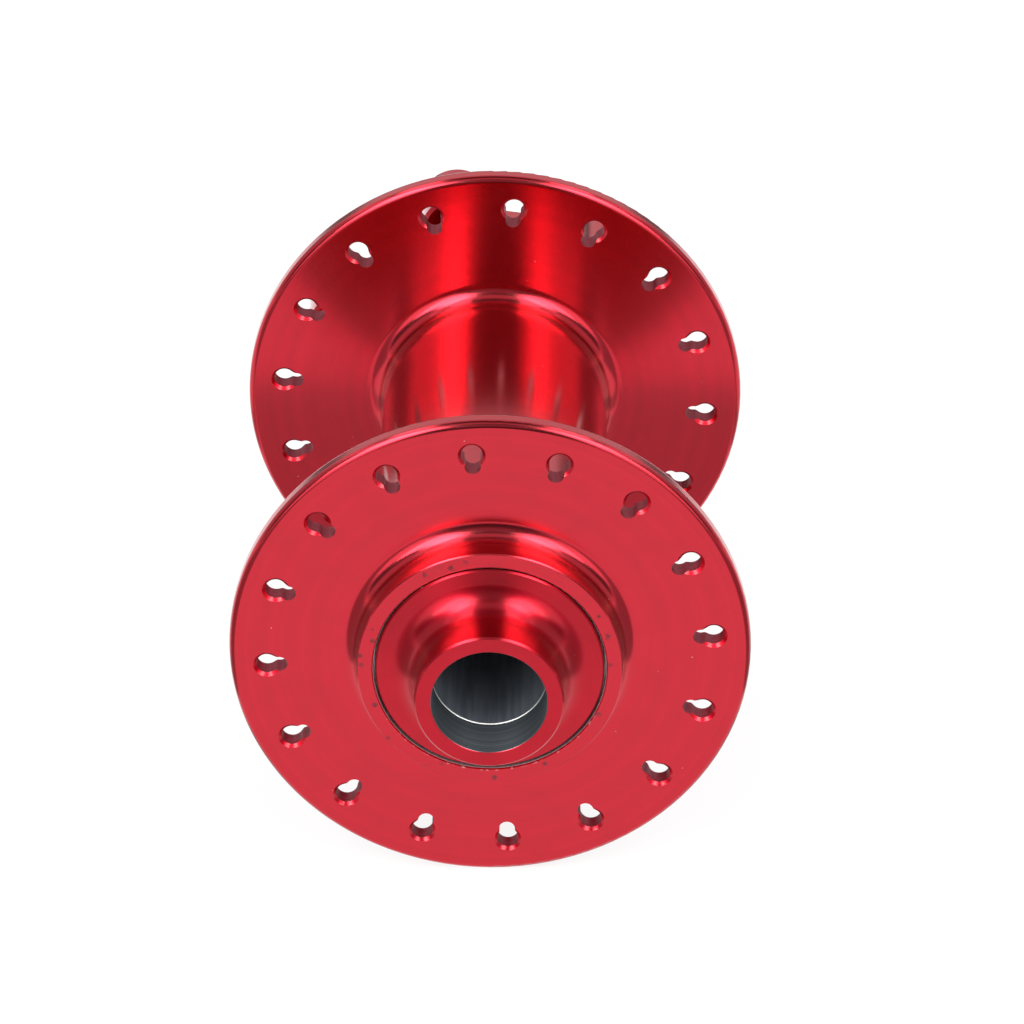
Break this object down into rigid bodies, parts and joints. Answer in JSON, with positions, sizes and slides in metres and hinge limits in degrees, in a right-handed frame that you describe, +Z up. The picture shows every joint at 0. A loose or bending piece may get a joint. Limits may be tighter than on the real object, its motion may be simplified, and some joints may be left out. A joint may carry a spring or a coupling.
{
  "type": "bicycle front hub",
  "caption": "Front disc-brake bicycle hub with two keyholed spoke flanges, sealed ball bearings and end caps for a thru axle.",
  "frame": {"origin": "centre of the hub on its axle line, midway between the two end cap faces", "axes": "+Y along the axle towards the left, brake-rotor side of the bicycle; +X forward; +Z up"},
  "size_m": [0.0682, 0.11, 0.0682],
  "materials": {
    "anodised_shell": "glossy red anodised over fine lathe turning",
    "anodised_cap": "glossy red anodised over fine lathe turning, bare inside the bore",
    "bare_axle_tube": "bare turned aluminium",
    "bearing_steel": "ground bearing steel",
    "ball_steel": "polished",
    "cage_steel": "pressed sheet steel",
    "seal_rubber": "matt black moulded rubber",
    "o_ring_rubber": "matt black moulded rubber"
  },
  "bodies": {
    "axle_assembly": {"axle": "bare_axle_tube", "right_end_cap": "anodised_cap", "left_end_cap": "anodised_cap", "right_cap_o_ring": "o_ring_rubber", "left_cap_o_ring": "o_ring_rubber", "right_bearing_inner_race": "bearing_steel", "left_bearing_inner_race": "bearing_steel"},
    "shell_assembly": {"hub_shell": "anodised_shell", "right_bearing_outer_race": "bearing_steel", "right_bearing_outer_seal": "seal_rubber", "right_bearing_inner_seal": "seal_rubber", "left_bearing_outer_race": "bearing_steel", "left_bearing_outer_seal": "seal_rubber", "left_bearing_inner_seal": "seal_rubber"},
    "right_ball_set": {"right_bearing_balls": "ball_steel", "right_bearing_cage_outer_half": "cage_steel", "right_bearing_cage_inner_half": "cage_steel", "right_bearing_cage_rivets": "cage_steel"},
    "left_ball_set": {"left_bearing_balls": "ball_steel", "left_bearing_cage_outer_half": "cage_steel", "left_bearing_cage_inner_half": "cage_steel", "left_bearing_cage_rivets": "cage_steel"}
  },
  "joints": [
    {"name": "hub_spin", "type": "hinge", "parent": "axle_assembly", "child": "shell_assembly", "pos_m": [0, 0, 0], "axis": [0, 1, 0], "continuous": true},
    {"name": "right_ball_orbit", "type": "hinge", "parent": "axle_assembly", "child": "right_ball_set", "pos_m": [0, -0.0407, 0], "axis": [0, 1, 0], "continuous": true},
    {"name": "left_ball_orbit", "type": "hinge", "parent": "axle_assembly", "child": "left_ball_set", "pos_m": [0, 0.0407, 0], "axis": [0, 1, 0], "continuous": true}
  ],
  "couplings": [
    {"joint": "right_ball_orbit", "follows": "hub_spin", "ratio": 0.58445},
    {"joint": "left_ball_orbit", "follows": "hub_spin", "ratio": 0.58445}
  ]
}
